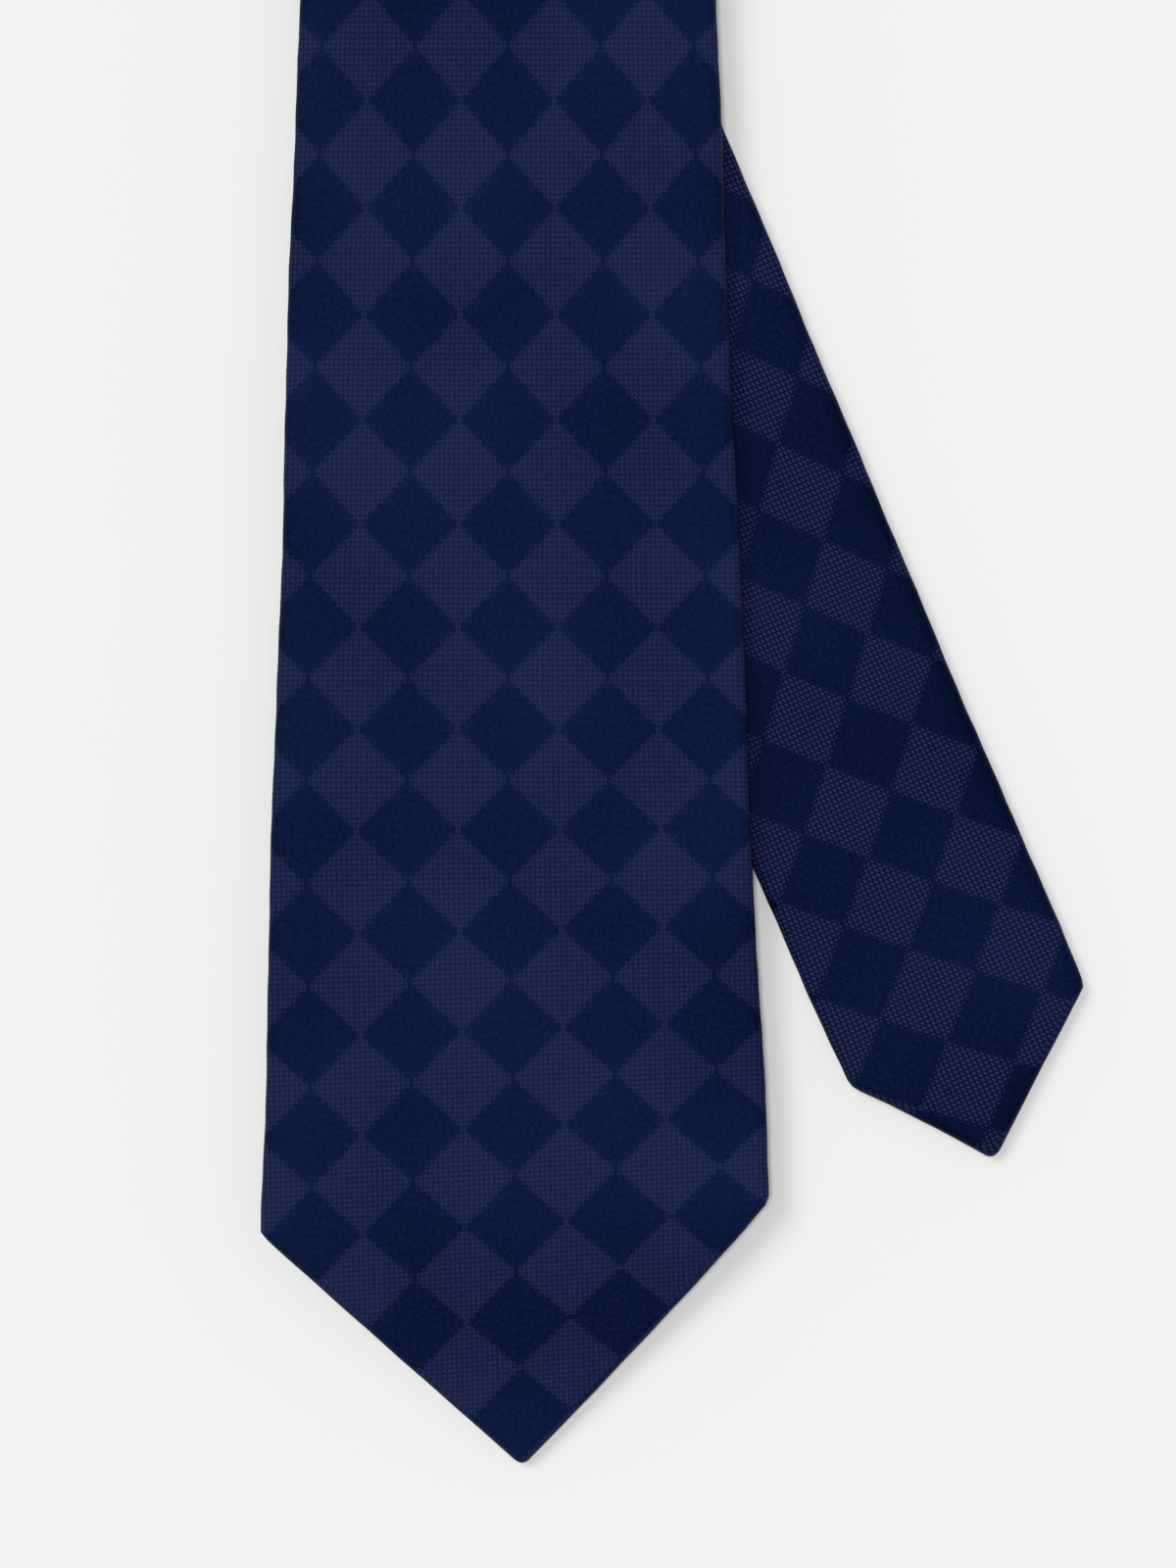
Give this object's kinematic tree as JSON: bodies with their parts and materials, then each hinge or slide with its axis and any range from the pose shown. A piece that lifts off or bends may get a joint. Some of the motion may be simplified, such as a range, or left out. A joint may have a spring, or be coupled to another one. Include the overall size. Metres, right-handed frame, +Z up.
{
  "type": "necktie",
  "caption": "Pointed silk necktie laid flat in a loose loop: wide blade on top, narrow tail passing through a keeper behind it and swung out to one side.",
  "frame": {"origin": "on the surface the tie lies on, under the keeper, where the centre lines of blade and tail cross", "axes": "+Y along the blade away from its tip, +X to the viewer's right of the face-up blade, +Z up out of the blade's face"},
  "size_m": [0.2812, 0.6685, 0.0088],
  "materials": {
    "silk": "navy bias-cut jacquard silk, tone-on-tone check of satin and raised weave",
    "interlining": "brushed natural wool blend",
    "tipping": "navy twill lining",
    "thread": "navy sewing thread",
    "label": "blank woven satin label"
  },
  "bodies": {
    "neck_loop": {"blade_shell_upper": "silk", "blade_interlining_upper": "interlining", "blade_slip_stitch_upper": "thread", "blade_neck_seam": "thread", "neck_shell": "silk", "neck_interlining": "interlining", "neck_slip_stitch": "thread", "neck_tail_seam": "thread", "tail_shell_upper": "silk", "tail_interlining_upper": "interlining", "tail_slip_stitch_upper": "thread", "keeper_loop": "silk", "keeper_tack_left": "thread", "keeper_tack_right": "thread"},
    "blade_end": {"blade_shell": "silk", "blade_interlining": "interlining", "blade_tipping": "tipping", "blade_slip_stitch": "thread", "blade_bar_tack": "thread", "maker_label": "label", "label_stitch_left": "thread", "label_stitch_right": "thread"},
    "tail_end": {"tail_shell": "silk", "tail_interlining": "interlining", "tail_tipping": "tipping", "tail_slip_stitch": "thread", "tail_bar_tack": "thread", "care_label": "label"}
  },
  "joints": [
    {"name": "blade_lift", "type": "hinge", "parent": "neck_loop", "child": "blade_end", "pos_m": [0, -0.04, 0.009], "axis": [-1, 0, 0], "range_deg": [0, 120]},
    {"name": "tail_swing", "type": "hinge", "parent": "neck_loop", "child": "tail_end", "pos_m": [0, 0, 0], "axis": [0, 0, 1], "range_deg": [-23, 5]}
  ]
}
